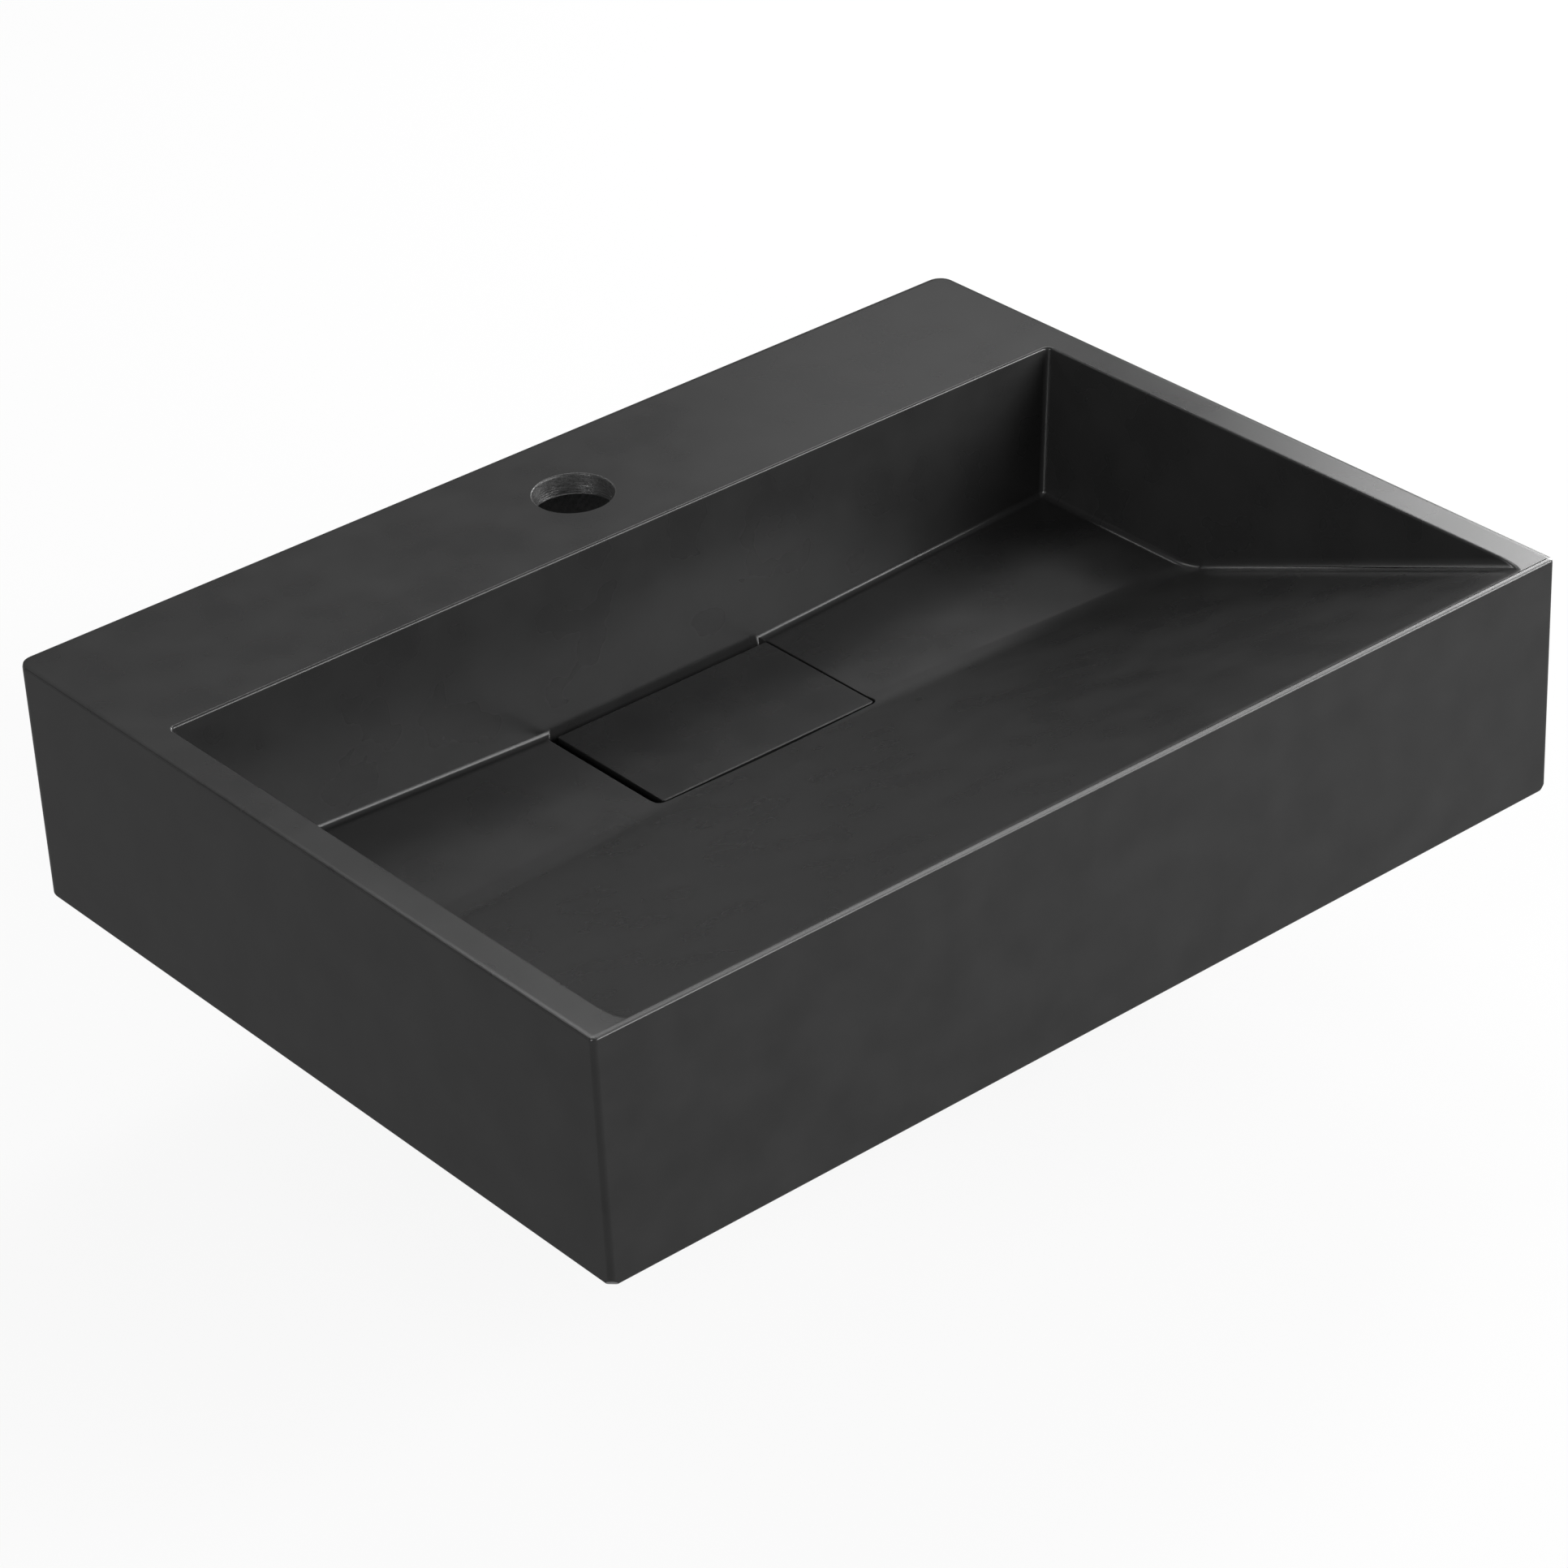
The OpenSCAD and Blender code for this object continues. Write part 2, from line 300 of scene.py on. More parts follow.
def cut_thread(piece, span, radius, pitch, depth, middle=(0, 0), axis="Z"):
    a, b = middle
    mesh = edit(piece)
    for v in mesh.verts:
        if axis == "Z":
            along, out = v.co.z, Vector((v.co.x - a, v.co.y - b, 0))
            turn = math.atan2(out.y, out.x)
        else:
            along, out = v.co.y, Vector((v.co.x - a, 0, v.co.z - b))
            turn = math.atan2(out.z, out.x)
        if span[0] < along < span[1] and abs(out.length - radius) < 0.02 * mm:
            phase = (along / pitch + turn / (2 * math.pi)) % 1
            groove = min(1, 1.35 * (1 - abs(2 * phase - 1)))
            fade = min(1, (along - span[0]) / pitch, (span[1] - along) / pitch)
            v.co -= out.normalized() * depth * groove * fade
    bmesh.update_edit_mesh(piece.data)
    leave_edit()
    return piece

# %% [markdown]
# ## Finishes
# A finish is a small tree of nodes. Noise on Object coordinates gives each one its grain at the
# real scale, and the same noise drives colour, roughness and bump together, because on a real
# surface one cause shows in all three. Numbers that don't vary are set on the shader itself.

# %% Node helpers
def new_finish(name, roughness, metallic=0.0, specular=0.5):
    finish = bpy.data.materials.new(name)
    finish.use_nodes = True
    tree = finish.node_tree
    shader = tree.nodes["Principled BSDF"]
    shader.inputs["Roughness"].default_value = roughness
    shader.inputs["Metallic"].default_value = metallic
    shader.inputs["Specular IOR Level"].default_value = specular
    place = tree.nodes.new("ShaderNodeTexCoord")
    return finish, tree, shader, place.outputs["Object"]


def grain(tree, where, per_metre, detail=2.0, rough=0.5):
    """Noise whose features repeat about per_metre times in a metre."""
    node = tree.nodes.new("ShaderNodeTexNoise")
    node.inputs["Scale"].default_value = per_metre
    node.inputs["Detail"].default_value = detail
    node.inputs["Roughness"].default_value = rough
    tree.links.new(where, node.inputs["Vector"])
    return node.outputs["Fac"]


def spread(tree, value, low_in, high_in, low_out, high_out):
    node = tree.nodes.new("ShaderNodeMapRange")
    for socket, number in zip(("From Min", "From Max", "To Min", "To Max"),
                              (low_in, high_in, low_out, high_out)):
        node.inputs[socket].default_value = number
    tree.links.new(value, node.inputs["Value"])
    return node.outputs["Result"]


def tint(tree, value, stops):
    """A colour ramp. stops is a list of (position, grey or colour)."""
    node = tree.nodes.new("ShaderNodeValToRGB")
    ramp = node.color_ramp
    while len(ramp.elements) < len(stops):
        ramp.elements.new(0.5)
    for element, (position, colour) in zip(ramp.elements, stops):
        if isinstance(colour, float):
            colour = (colour, colour, colour)
        element.position = position
        element.color = (*colour, 1)
    tree.links.new(value, node.inputs["Fac"])
    return node.outputs["Color"]


def emboss(tree, shader, height, depth, strength=1.0, under=None):
    node = tree.nodes.new("ShaderNodeBump")
    node.inputs["Strength"].default_value = strength
    node.inputs["Distance"].default_value = depth
    tree.links.new(height, node.inputs["Height"])
    if under is not None:
        tree.links.new(under, node.inputs["Normal"])
    tree.links.new(node.outputs["Normal"], shader.inputs["Normal"])
    return node.outputs["Normal"]


def wear(piece, finish):
    """Gives the whole piece one finish."""
    piece.data.materials.clear()
    piece.data.materials.append(finish)
    for face in piece.data.polygons:
        face.material_index = 0

# %% [markdown]
# The resin is filled with stone powder and dyed through. Close up it has a very fine mottle,
# and the oiled show side is matt with a low, broad sheen. The back is left as it came out of
# the mould: paler, rougher and pitted. Where it was drilled, the resin is raw and glints.

# %% Cast stone
def cast_stone(name, darkest, lightest, roughness, specular):
    finish, tree, shader, where = new_finish(name, roughness, specular=specular)
    cloud = grain(tree, where, 40, 2, 0.5)
    tree.links.new(tint(tree, cloud, [(0.3, darkest), (0.7, lightest)]),
                   shader.inputs["Base Color"])
    tree.links.new(spread(tree, cloud, 0.3, 0.7, roughness - 0.015, roughness + 0.015),
                   shader.inputs["Roughness"])
    emboss(tree, shader, grain(tree, where, 1300, 2, 0.5), 0.002 * mm, 0.4)
    return finish


show_side = cast_stone("oiled stone resin", 0.022, 0.027, 0.28, 0.5)
# Painted shade: the cover gets a darker, slightly less glossy copy of the same resin, so that its
# colour carries shade.
cover_painted_shade = cast_stone("oiled stone resin of the cover, darkened as painted shade", 0.016, 0.021, 0.27, 0.4)
# The outer sides get a more matt copy of the same resin, and its lighter colour is painted light
# on the upright sides.
outer_side_painted_light = cast_stone("matt stone resin of the sides, lightened as painted light", 0.028, 0.034, 0.5, 0.05)

# %% [markdown]
# The other two faces of the resin differ because of how they were made. Against the back of the
# mould it sets with small pits, so one noise drives both the colour and the relief. In a drilled
# hole the diamonds tear out grains of stone, which leave light chips on a dark wall.

# %% Raw and drilled resin
def raw_resin():
    finish, tree, shader, where = new_finish("raw cast resin", 0.8, specular=0.2)
    pits = grain(tree, where, 420, 5, 0.7)
    tree.links.new(tint(tree, pits, [(0.3, 0.03), (0.7, 0.075)]), shader.inputs["Base Color"])
    emboss(tree, shader, pits, 0.25 * mm, 0.6)
    return finish


def drilled_resin():
    finish, tree, shader, where = new_finish("drilled resin", 0.3)
    chips = grain(tree, where, 1300, 4, 0.7)
    tree.links.new(tint(tree, chips, [(0.35, 0.02), (0.75, 0.12)]), shader.inputs["Base Color"])
    tree.links.new(spread(tree, chips, 0.3, 0.7, 0.45, 0.18), shader.inputs["Roughness"])
    emboss(tree, shader, chips, 0.15 * mm, 0.7)
    return finish


raw_side, drilled_side = raw_resin(), drilled_resin()

# %% [markdown]
# The fittings are metal, rubber and plastic. Chrome is smooth with faint wiped streaks. Raw brass
# has turned rings and a warm colour. Zinc on steel sets in dull blotches. Rubber is matt and
# dusty, nylon is white and a little waxy, and the silicone of the pads is clouded.

# %% Metals
def metal(name, dark, light, smoothest, roughest, blotch, scratch_depth):
    """Blotches carry both the colour and the roughness. Fine scratches are only bumps."""
    finish, tree, shader, where = new_finish(name, smoothest, metallic=1.0)
    spots = grain(tree, where, blotch, 4, 0.6)
    tree.links.new(tint(tree, spots, [(0.35, dark), (0.65, light)]), shader.inputs["Base Color"])
    tree.links.new(spread(tree, spots, 0.3, 0.7, roughest, smoothest), shader.inputs["Roughness"])
    emboss(tree, shader, grain(tree, where, 2200, 3, 0.6), scratch_depth, 0.5)
    return finish


chrome = metal("chromed brass", (0.6, 0.61, 0.62), (0.68, 0.68, 0.69), 0.06, 0.14, 60, 0.004 * mm)
brass = metal("raw turned brass", (0.5, 0.33, 0.12), (0.7, 0.5, 0.22), 0.24, 0.42, 160, 0.03 * mm)
zinc = metal("zinc on steel", (0.34, 0.35, 0.36), (0.56, 0.57, 0.58), 0.27, 0.45, 260, 0.03 * mm)
print("metals:", chrome.name, brass.name, zinc.name)

# %% [markdown]
# The soft parts are moulded, so their surface is even, and only a faint mottle and dust break it.
# Nylon and silicone let a little light in, so they get a shallow subsurface share. One recipe
# with a few numbers makes all three, which keeps them alike where the real ones are alike.

# %% Rubber, nylon and silicone
def moulded(name, dark, light, roughness, specular, pattern, relief):
    finish, tree, shader, where = new_finish(name, roughness, specular=specular)
    mottle = grain(tree, where, pattern, 4, 0.6)
    tree.links.new(tint(tree, mottle, [(0.3, dark), (0.7, light)]), shader.inputs["Base Color"])
    tree.links.new(spread(tree, mottle, 0.3, 0.7, roughness - 0.06, roughness + 0.06),
                   shader.inputs["Roughness"])
    emboss(tree, shader, grain(tree, where, 1800, 3, 0.6), relief, 0.6)
    return finish, shader


rubber, _ = moulded("black rubber", 0.012, 0.03, 0.62, 0.3, 220, 0.05 * mm)
nylon, nylon_shader = moulded("white nylon", (0.74, 0.74, 0.71), (0.82, 0.82, 0.8), 0.38, 0.45,
                              90, 0.02 * mm)
nylon_shader.inputs["Subsurface Weight"].default_value = 0.15
nylon_shader.inputs["Subsurface Radius"].default_value = (1.5 * mm, 1.4 * mm, 1.2 * mm)
silicone, silicone_shader = moulded("clouded silicone", (0.5, 0.51, 0.5), (0.6, 0.6, 0.59), 0.42,
                                    0.4, 300, 0.02 * mm)
silicone_shader.inputs["Subsurface Weight"].default_value = 0.4
silicone_shader.inputs["Subsurface Radius"].default_value = (1 * mm, 1 * mm, 0.9 * mm)
print("moulded:", rubber.name, nylon.name, silicone.name)

# %% [markdown]
# ## The basin
# A real one is cast in a two-part mould: stone powder in resin, poured upside down. So it is one
# body with drafted walls and soft inside corners. It is modelled the way the mould is made. One
# convex plug has the shape of the bowl: a block, sawn by six planes, with its edges rounded.
# The same plug, ten millimetres larger all round, shapes the hollow underneath.

# %% Sizes of the basin
low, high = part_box("basin")
apron, deck_thick, wall_thick = 12 * mm, 10 * mm, 10 * mm
side_rim, front_rim, deck_deep = 15 * mm, 3.6 * mm, 88 * mm
side_lean, back_lean = math.radians(9), math.radians(5)
slope, floor_fall = math.radians(20.5), math.radians(2.4)
floor_height = low.z + 32.5 * mm
bend_radius = 45 * mm
tap = next(m for m in record["mounts"] if m["name"] == "tap_hole")
outlet = next(m for m in record["mounts"] if m["name"] == "tail_outlet")
waste_x, waste_y = outlet["pos_m"][0], outlet["pos_m"][1]
sump_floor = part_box("cover_pads")[0].z
print("basin from", [round(v, 4) for v in low], "to", [round(v, 4) for v in high])

# %% [markdown]
# The plug is what a mould maker would turn upside down and cast against. Each wall leans, so that
# the casting comes off it: nine degrees at the sides and five at the back. The floor has two
# planes that fall to the middle, so that water runs to the drain. Sawing a block by planes gives
# exactly that, and bevelled edges give the bowl its soft corners.

# %% The plug that shapes the bowl
def corner_radius(point):
    """Tight in the back corners, wider where the side walls run out along the sloping front."""
    share = min(1, max(0, (-0.19 - point.y) / 0.18))
    return (2.8 + 3.7 * share) * mm


def bowl_plug(name, grow):
    """The bowl's inside as one convex body, with every face moved out by grow."""
    plug = block(name, (-0.3, -0.5, -0.06), (0.3, -0.05, high.z + 30 * mm))
    side = Vector((math.cos(side_lean), 0, -math.sin(side_lean)))
    back = Vector((0, math.cos(back_lean), -math.sin(back_lean)))
    front = Vector((0, -math.sin(slope), -math.cos(slope)))
    floor = Vector((math.sin(floor_fall), 0, -math.cos(floor_fall)))
    mirror = Vector((-1, 1, 1))
    rim_x, front_y = high.x - side_rim, low.y + front_rim
    for way, normal in ((1, side), (-1, side * mirror)):
        cut_by_plane(plug, Vector((way * rim_x, 0, high.z)) + normal * grow, normal)
    cut_by_plane(plug, Vector((0, high.y - deck_deep, high.z)) + back * grow, back)
    cut_by_plane(plug, Vector((0, front_y, high.z)) + front * grow, front)
    for normal in (floor, floor * mirror):
        cut_by_plane(plug, Vector((0, 0, floor_height)) + normal * grow, normal)

    def is_bend(e):
        a, b = (f.normal for f in e.link_faces)
        return max(a.z, b.z) < -0.9 and abs(abs(a.y) - abs(b.y)) > 0.2

    def is_corner(e):
        a, b = (f.normal for f in e.link_faces)
        inside = all(-0.49 < v.co.y for v in e.verts)
        return turn_of(e) > 50 and max(a.z, b.z) < 0.9 and inside

    bend = math.acos(front.dot(floor))
    round_edges(plug, is_bend, (bend_radius + grow) * math.tan(bend / 2), 12)
    round_by_place(plug, is_corner, lambda point: (corner_radius(point) + grow) * 0.92, 6)
    return plug


plug = bowl_plug("bowl_plug", 0)
wear(plug, show_side)
report(plug)

# %% [markdown]
# The outside is a block with rounded edges: generous on the two corners against the wall, small
# on the front corners, and just broken along the top and the bottom. The two front corners
# underneath are clipped first. The uprights come next, so that the edges round the top can follow.

# %% The outside block
basin = block("basin_body", low, high)
wear(basin, show_side)
clip_corners(basin, lambda v: v.co.y < -0.3 and v.co.z < 0, 4.5 * mm)
round_edges(basin, lambda e: is_upright(e) and e.verts[0].co.y > -0.01, 7 * mm, 8)
round_edges(basin, lambda e: is_upright(e) and e.verts[0].co.y < -0.3, 2.5 * mm, 5)
level = lambda e, z: all(abs(v.co.z - z) < 1e-5 for v in e.verts)
round_edges(basin, lambda e: level(e, high.z) and turn_of(e) > 60, 1.4 * mm, 4)
round_edges(basin, lambda e: level(e, low.z) and turn_of(e) > 60, 1.5 * mm, 4)
basin.data.materials.append(outer_side_painted_light)
basin.data.materials.append(raw_side)
# Upright outer faces take the lighter, matt copy of the resin, which paints light onto them; the
# face against the wall takes the raw back.
for face in basin.data.polygons:
    if abs(face.normal.z) < 0.3:
        face.material_index = 2 if face.normal.y > 0.9 else 1
report(basin)

# %% [markdown]
# The hollow underneath saves resin and weight. Its tool is a rounded block with four things
# taken out of it, which then stay as resin: the larger plug, the slab under the drain and the
# two round bosses that the wall studs bear on.

# %% The hollow underneath
stud_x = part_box("stud_nuts")[1].x - 9.8 * mm
boss_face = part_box("stud_sleeves")[0].y + 2 * mm
cover_low, cover_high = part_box("drain_cover")
recess_low = Vector((-59.25 * mm, cover_low.y + 0.1 * mm, sump_floor))
recess_high = Vector((59.25 * mm, high.y - deck_deep - 6.3 * mm, floor_height + 6 * mm))
slab_under = sump_floor - 12 * mm

hollow = rounded_block("hollow", (low.x + apron, low.y + apron, low.z - 5 * mm),
                       (high.x - apron, high.y - apron, high.z - deck_thick), 8 * mm)
combine(hollow, bowl_plug("outer_plug", wall_thick))
around = Vector((wall_thick, wall_thick, 0))
slab_low, slab_high = recess_low - around, recess_high + around
slab_low.z, slab_high.z = slab_under, 0.02
combine(hollow, rounded_block("slab", slab_low, slab_high, 8 * mm))
for way in (-1, 1):
    boss = turned("boss", [(0, boss_face), (21 * mm, boss_face), (22 * mm, boss_face + 1 * mm),
                           (22 * mm, high.y), (0, high.y)], (way * stud_x, 0), "Y")
    combine(hollow, boss)
wear(hollow, raw_side)
report(hollow)

# %% [markdown]
# Now the tools meet the block. The plug leaves the bowl and the larger one leaves a shell of even
# thickness. A straight-walled recess is cut through the floor down to the slab, and it runs back
# as far as the wall, so that the wall goes straight down behind the cover. The waste hole gets a
# seat for its seal. Each tool wears its own finish, and the cut faces take that finish over.

# %% The bowl, the hollow, the recess and the waste
combine(basin, plug)
combine(basin, hollow)
recess = block("recess", recess_low, recess_high + Vector((0, 10 * mm, 0)))
wall_way = Vector((0, math.cos(back_lean), -math.sin(back_lean)))
cut_by_plane(recess, Vector((0, high.y - deck_deep, high.z)) + wall_way * 0.02 * mm, wall_way)
round_edges(recess, is_upright, 3.5 * mm, 6)
wear(recess, show_side)
combine(basin, recess)
seat = sump_floor - 2.5 * mm
waste_bore = turned("waste_bore", [
    (0, sump_floor + 1 * mm), (33.6 * mm, sump_floor + 1 * mm), (33.6 * mm, sump_floor),
    (33 * mm, sump_floor - 0.6 * mm), (33 * mm, seat), (22.5 * mm, seat),
    (22.5 * mm, slab_under + 1 * mm), (23.5 * mm, slab_under), (23.5 * mm, slab_under - 3 * mm),
    (0, slab_under - 3 * mm)], (waste_x, waste_y), steps=96)
wear(waste_bore, drilled_side)
combine(basin, waste_bore)
for way in (-1, 1):
    wall_bore = turned("wall_bore", [(0, -0.03), (9 * mm, -0.03), (9 * mm, 0.01), (0, 0.01)],
                       (way * stud_x, 0), "Y", 48)
    wear(wall_bore, drilled_side)
    combine(basin, wall_bore)
report(basin)

# %% [markdown]
# The tap hole is drilled after casting. A diamond drill leaves rings in the resin, and it chips
# the edge where it breaks through underneath. The drill itself is modelled with those marks:
# a turned body whose radius wavers from row to row, and a little at random round each row.

# %% The tap hole
tap_x, tap_y = tap["pos_m"][0], tap["pos_m"][1]
tap_radius = tap["dims"]["r_mm"] * mm
deck_under = high.z - deck_thick


def drill_outline():
    outline = [(0, deck_under - 5 * mm), (tap_radius + 0.9 * mm, deck_under - 5 * mm),
               (tap_radius + 0.9 * mm, deck_under - 0.2 * mm)]
    count = 26
    for i in range(count + 1):
        share = i / count
        height = deck_under + share * (deck_thick - 1 * mm)
        ring = 0.26 * mm if i % 3 == 0 else 0.08 * mm if i % 3 == 1 else 0
        outline.append((tap_radius + ring * (1.15 - share), height))
    outline += [(tap_radius + 0.1 * mm, high.z - 0.6 * mm),
                (tap_radius + 0.28 * mm, high.z - 0.28 * mm), (tap_radius + 0.7 * mm, high.z),
                (tap_radius + 0.7 * mm, high.z + 3 * mm), (0, high.z + 3 * mm)]
    return outline


drill = turned("drill", drill_outline(), (tap_x, tap_y), steps=144)
mesh = edit(drill)
for v in mesh.verts:
    out = Vector((v.co.x - tap_x, v.co.y - tap_y, 0))
    share = (v.co.z - deck_under) / deck_thick
    if out.length > tap_radius - 1 * mm and -0.1 < share < 0.93:
        rough = noise.noise(v.co * 900) * 0.5 + noise.noise(v.co * 2600) * 0.5
        amount = 0.32 * max(0, 1 - share * 1.3) + 0.06
        if share < 0.06:
            amount = 0.7
        v.co += out.normalized() * abs(rough) * amount * mm
bmesh.update_edit_mesh(drill.data)
leave_edit()
wear(drill, drilled_side)
combine(basin, drill)
report(basin)

# %% [markdown]
# After casting, the show side is sanded and oiled, which breaks every sharp edge a little. The
# same is done here: the bowl's rim, the edge of the recess, and the edges underneath each get
# their own small rounding, and those edges are what catch the light.

# %% Breaking the edges
def near_tap(point):
    return (Vector((point.x - tap_x, point.y - tap_y))).length < tap_radius + 3 * mm


def on_rim(e):
    return level(e, high.z) and turn_of(e) > 8 and not near_tap(e.verts[0].co)


def in_plan(point, plan_low, plan_high, spare):
    return all(a - spare < p < b + spare
               for p, a, b in zip(point.xy, plan_low.xy, plan_high.xy))


def on_recess(e):
    """The recess's top edge, where its upright wall meets the bowl's floor."""
    a, b = (f.normal for f in e.link_faces)
    upright = min(abs(a.z), abs(b.z)) < 0.05 and max(a.z, b.z) > 0.6
    return (upright and all(sump_floor + 5 * mm < v.co.z < 0 for v in e.verts)
            and in_plan(e.verts[0].co, recess_low, recess_high, 1 * mm))


def on_underside(e):
    return level(e, low.z) and turn_of(e) > 60


print("finishes on the basin:", [m.name for m in basin.data.materials])
print("rim edges", round_edges(basin, on_rim, 1.1 * mm, 4))
print("recess edges", round_edges(basin, on_recess, 0.5 * mm, 3))
print("underside edges", round_edges(basin, on_underside, 1 * mm, 3))
smooth(basin, 40)
report(basin)
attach(basin, "sink")
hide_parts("basin")

# %% [markdown]
# ## The cover over the waste
# It is a loose plate of the same resin. It stands on four short feet, each on a soft pad, so
# that water runs in round all its edges. Its sides lean in a little towards the bottom, the way a
# cast plate is drawn out of its mould, and that keeps the gap round it dark.

# %% Cover and feet
foot_low = cover_low.z
plate_under = cover_high.z - 9 * mm
plate_top = cover_high.z + 0.4 * mm
plate_low = Vector((cover_low.x, recess_low.y + 1.5 * mm, plate_under))
plate_high = Vector((cover_high.x, cover_high.y + 2.5 * mm, plate_top))
cover = rounded_block("cover_plate", plate_low, plate_high, 1.2 * mm, 4)
middle = (plate_low + plate_high) / 2
for v in cover.data.vertices:
    if v.co.z < plate_under + 1 * mm:
        v.co.x -= math.copysign(1.2 * mm, v.co.x - middle.x)
        v.co.y -= math.copysign(1.2 * mm, v.co.y - middle.y)
round_edges(cover, lambda e: level(e, plate_top) and turn_of(e) > 60, 0.6 * mm, 4)
round_edges(cover, lambda e: level(e, plate_under) and turn_of(e) > 60, 0.5 * mm, 2)
pad_low, pad_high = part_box("cover_pads")
pad_radius = 5 * mm
foot_x, foot_y = pad_high.x - pad_radius, pad_high.y - pad_radius
foot = turned("foot", [(0, foot_low), (5.3 * mm, foot_low), (5.7 * mm, foot_low + 0.3 * mm),
                       (6 * mm, plate_under - 0.8 * mm), (6.6 * mm, plate_under + 0.2 * mm),
                       (0, plate_under + 0.2 * mm)], (foot_x, foot_y), steps=40)
step_x, step_y = pad_low.x + pad_radius - foot_x, pad_low.y + pad_radius - foot_y
corners = [(step_x, 0, 0), (0, step_y, 0), (step_x, step_y, 0)]
repeat(foot, corners)
combine(cover, foot, "UNION")
# The cover wears the darker copy of the resin, which is painted shade.
wear(cover, cover_painted_shade)
smooth(cover, 40)
report(cover)
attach(cover, "cover")
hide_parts("drain_cover")

# %% [markdown]
# The pads are small discs of silicone, pressed to the feet, which keep stone from rattling on
# stone. Their lower edge is rounder, as it is where soft discs carry weight. One is turned and
# the other three are copies of it, each on its own foot.

# %% Pads under the feet
pads = turned("foot_pads", [
    (0, pad_low.z), (3.9 * mm, pad_low.z), (4.6 * mm, pad_low.z + 0.25 * mm),
    (4.95 * mm, pad_low.z + 0.8 * mm), (pad_radius, pad_high.z - 0.3 * mm),
    (4.8 * mm, pad_high.z), (0, pad_high.z)], (foot_x, foot_y), steps=40)
repeat(pads, corners)
wear(pads, silicone)
smooth(pads)
report(pads)
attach(pads, "cover")
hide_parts("cover_pads")

# %% [markdown]
# ## The waste
# A chromed brass body drops through the hole from above. Its flange sits on a rubber seal, and
# from below a tapered rubber washer, a slip washer and a brass nut clamp it. All these are
# turned or pressed parts, so they are spun, and their holes are drilled with one set of pins.

# %% Waste body with its strainer
body_low, body_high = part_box("waste_flange")
top, bore, shank = body_high.z, 16.8 * mm, 19 * mm
flange_under = top - 2.5 * mm
waste = turned("waste_body", [
    (0, top - 0.5 * mm), (19 * mm, top - 0.3 * mm), (29.6 * mm, top),
    (30.6 * mm, top - 0.12 * mm), (31.3 * mm, top - 0.6 * mm), (31.5 * mm, top - 1.2 * mm),
    (31.5 * mm, flange_under + 0.3 * mm), (31.2 * mm, flange_under), (shank, flange_under),
    *rows(shank, flange_under - 6 * mm, body_low.z + 1 * mm, 0.35 * mm),
    (shank - 1 * mm, body_low.z), (bore + 0.2 * mm, body_low.z), (bore, body_low.z + 0.3 * mm),
    (bore, top - 2.6 * mm), (bore - 0.6 * mm, top - 2 * mm), (0, top - 2.1 * mm)],
    (waste_x, waste_y), steps=72)
cut_thread(waste, (body_low.z + 0.5 * mm, flange_under - 6 * mm), shank, 2.31 * mm, 0.9 * mm,
           (waste_x, waste_y))
pins = turned("pins", [
    (0, top - 4 * mm), (2.5 * mm, top - 4 * mm), (2.5 * mm, top - 0.9 * mm),
    (2.7 * mm, top - 0.6 * mm), (3.1 * mm, top - 0.25 * mm), (3.1 * mm, top + 1 * mm),
    (0, top + 1 * mm)], (waste_x, waste_y), steps=28)
circle = lambda r, n: [(r * math.cos(2 * math.pi * i / n), r * math.sin(2 * math.pi * i / n), 0)
                       for i in range(n)]
repeat(pins, circle(6.6 * mm, 6) + circle(13.2 * mm, 12))
combine(waste, pins)
wear(waste, chrome)
smooth(waste, 30)
report(waste)
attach(waste, "sink")
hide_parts("waste_flange")

# %% [markdown]
# Seals and washers are rings, so each is one closed outline spun round the drain's axis. Rubber
# ones have round edges and the stiff nylon one has sharp ones. The tapered washer is wider at the
# top, because it is pressed up into the hole under the slab to seal it.

# %% Washers and seals of the waste
def washer(name, node, outer, inner, soft, finish, flare=0):
    """A ring with rounded edges between the heights of its CAD node."""
    a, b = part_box(node)
    piece = turned(name, [
        (inner, a.z + soft), (inner + soft, a.z), (outer - flare - soft, a.z),
        (outer - flare - 0.3 * soft, a.z + 0.3 * soft), (outer - flare, a.z + soft),
        (outer, b.z - soft), (outer - 0.3 * soft, b.z - 0.3 * soft), (outer - soft, b.z),
        (inner + soft, b.z), (inner, b.z - soft)], (waste_x, waste_y), steps=80, ring=True)
    wear(piece, finish)
    smooth(piece, 50)
    report(piece)
    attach(piece, "sink")
    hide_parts(node)


washer("flange_seal_ring", "flange_seal", 30 * mm, 23 * mm, 0.4 * mm, rubber)
washer("tapered_washer", "under_washer", 30 * mm, 19.1 * mm, 0.8 * mm, rubber,
       5 * mm)
washer("slip_ring", "slip_washer", 28 * mm, 19.1 * mm, 0.35 * mm, nylon)
washer("tail_seal_ring", "tail_seal", 18.5 * mm, 16.8 * mm, 0.3 * mm, rubber)

# %% [markdown]
# A nut is a slice of hexagonal bar. Both ends are chamfered on the lathe, which leaves the
# curved corners that everyone knows. Here the hexagon is cut by a turned lens shape, and its
# thread by a threaded rod. The same recipe makes the large brass nut and the two steel ones.

